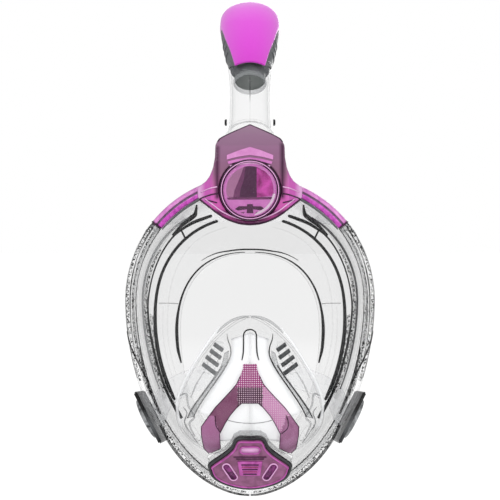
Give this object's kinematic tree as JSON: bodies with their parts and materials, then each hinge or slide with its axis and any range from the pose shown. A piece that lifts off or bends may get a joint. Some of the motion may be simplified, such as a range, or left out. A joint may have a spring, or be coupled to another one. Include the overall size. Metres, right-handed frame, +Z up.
{
  "type": "full face snorkel mask",
  "caption": "Full face snorkelling mask: panoramic visor in a clamped rim, silicone skirt with nose pocket, chin purge valve, plug-in dry-top snorkel and clip-on harness.",
  "frame": {"origin": "centre of the face seal, in the plane where the skirt meets the wearer's face on the centre line", "axes": "+Z up along the face, +Y from the visor towards the wearer's head, +X to the wearer's left when worn, which is the viewer's right in front of the visor"},
  "size_m": [0.198, 0.1782, 0.4041],
  "materials": {
    "clear_polycarbonate": "clear, glossy",
    "magenta_polycarbonate": "tinted, glossy",
    "clear_silicone": "soft, satin",
    "smoke_polycarbonate": "smoked, glossy",
    "black_nylon": "matte",
    "pale_silicone_strap": "matte",
    "spring_steel": "bright"
  },
  "bodies": {
    "root": {"upper_frame": "magenta_polycarbonate", "lower_frame": "clear_polycarbonate", "visor": "clear_polycarbonate", "visor_seal": "smoke_polycarbonate", "skirt": "clear_silicone", "nose_pocket": "clear_silicone", "nose_trim": "magenta_polycarbonate", "chin_housing": "clear_polycarbonate", "exhale_valve_seat": "clear_polycarbonate", "chin_bezel": "smoke_polycarbonate", "chin_cover": "magenta_polycarbonate", "snorkel_socket": "magenta_polycarbonate", "button_ring": "smoke_polycarbonate", "button_spring": "spring_steel", "upper_strap": "pale_silicone_strap", "lower_strap": "pale_silicone_strap", "frame_dowel_left": "spring_steel", "vent_grille_left": "clear_polycarbonate", "exhale_seat_left": "clear_polycarbonate", "strap_post_left": "clear_polycarbonate", "strap_anchor_left": "smoke_polycarbonate", "frame_dowel_right": "spring_steel", "vent_grille_right": "clear_polycarbonate", "exhale_seat_right": "clear_polycarbonate", "strap_post_right": "clear_polycarbonate", "strap_anchor_right": "smoke_polycarbonate"},
    "snorkel": {"tube_collar": "clear_polycarbonate", "tube_seal": "black_nylon", "snorkel_tube": "clear_polycarbonate", "tube_divider": "clear_polycarbonate", "dry_top_body": "smoke_polycarbonate", "dry_top_cap": "magenta_polycarbonate", "float_seat": "smoke_polycarbonate"},
    "float_ring": {"float": "pale_silicone_strap", "float_seal": "smoke_polycarbonate"},
    "lock_button": {"lock_button": "magenta_polycarbonate"},
    "exhale_membrane": {"exhale_membrane": "smoke_polycarbonate"},
    "inhale_flap_left": {"inhale_flap_left": "smoke_polycarbonate"},
    "exhale_flap_left": {"exhale_flap_left": "smoke_polycarbonate"},
    "strap_clip_left": {"strap_clip_left": "black_nylon", "strap_tail_left": "pale_silicone_strap"},
    "clip_button_left": {"clip_button_left": "smoke_polycarbonate"},
    "inhale_flap_right": {"inhale_flap_right": "smoke_polycarbonate"},
    "exhale_flap_right": {"exhale_flap_right": "smoke_polycarbonate"},
    "strap_clip_right": {"strap_clip_right": "black_nylon", "strap_tail_right": "pale_silicone_strap"},
    "clip_button_right": {"clip_button_right": "smoke_polycarbonate"}
  },
  "joints": [
    {"name": "snorkel_pull", "type": "slide", "parent": "root", "child": "snorkel", "axis": [0, 0.5878, 0.809], "range_m": [0, 0.03]},
    {"name": "float_rise", "type": "slide", "parent": "snorkel", "child": "float_ring", "axis": [0, 0.5878, 0.809], "range_m": [0, 0.011]},
    {"name": "lock_button_press", "type": "slide", "parent": "root", "child": "lock_button", "axis": [0, 1, 0], "range_m": [0, 0.003], "stiffness_N_per_m": 400, "deforming": ["button_spring"]},
    {"name": "exhale_membrane_lift", "type": "slide", "parent": "root", "child": "exhale_membrane", "axis": [0, -0.8829, -0.4695], "range_m": [0, 0.0012], "stiffness_N_per_m": 100},
    {"name": "inhale_flap_right_open", "type": "hinge", "parent": "root", "child": "inhale_flap_right", "pos_m": [0.02574, -0.04508, -0.01216], "axis": [0.7034, 0.7108, 0.0022], "range_deg": [0, 30], "stiffness_Nm_per_rad": 0.002},
    {"name": "inhale_flap_left_open", "type": "hinge", "parent": "root", "child": "inhale_flap_left", "pos_m": [-0.02574, -0.04508, -0.01216], "axis": [0.7034, -0.7108, -0.0022], "range_deg": [0, 30], "stiffness_Nm_per_rad": 0.002},
    {"name": "exhale_flap_right_open", "type": "hinge", "parent": "root", "child": "exhale_flap_right", "pos_m": [0.04646, -0.05388, -0.07581], "axis": [-0.7471, -0.4896, -0.4496], "range_deg": [0, 8], "stiffness_Nm_per_rad": 0.002},
    {"name": "exhale_flap_left_open", "type": "hinge", "parent": "root", "child": "exhale_flap_left", "pos_m": [-0.04646, -0.05388, -0.07581], "axis": [-0.7471, 0.4896, 0.4496], "range_deg": [0, 8], "stiffness_Nm_per_rad": 0.002},
    {"name": "strap_clip_right_swivel", "type": "hinge", "parent": "root", "child": "strap_clip_right", "pos_m": [0.07702, -0.03032, -0.06853], "axis": [0.8868, 0, -0.4621], "range_deg": [-12, 12]},
    {"name": "clip_button_right_press", "type": "slide", "parent": "strap_clip_right", "child": "clip_button_right", "axis": [-0.8868, 0, 0.4621], "range_m": [0, 0.0015], "stiffness_N_per_m": 500},
    {"name": "strap_clip_left_swivel", "type": "hinge", "parent": "root", "child": "strap_clip_left", "pos_m": [-0.07702, -0.03032, -0.06853], "axis": [-0.8868, 0, -0.4621], "range_deg": [-12, 12]},
    {"name": "clip_button_left_press", "type": "slide", "parent": "strap_clip_left", "child": "clip_button_left", "axis": [0.8868, 0, 0.4621], "range_m": [0, 0.0015], "stiffness_N_per_m": 500}
  ]
}
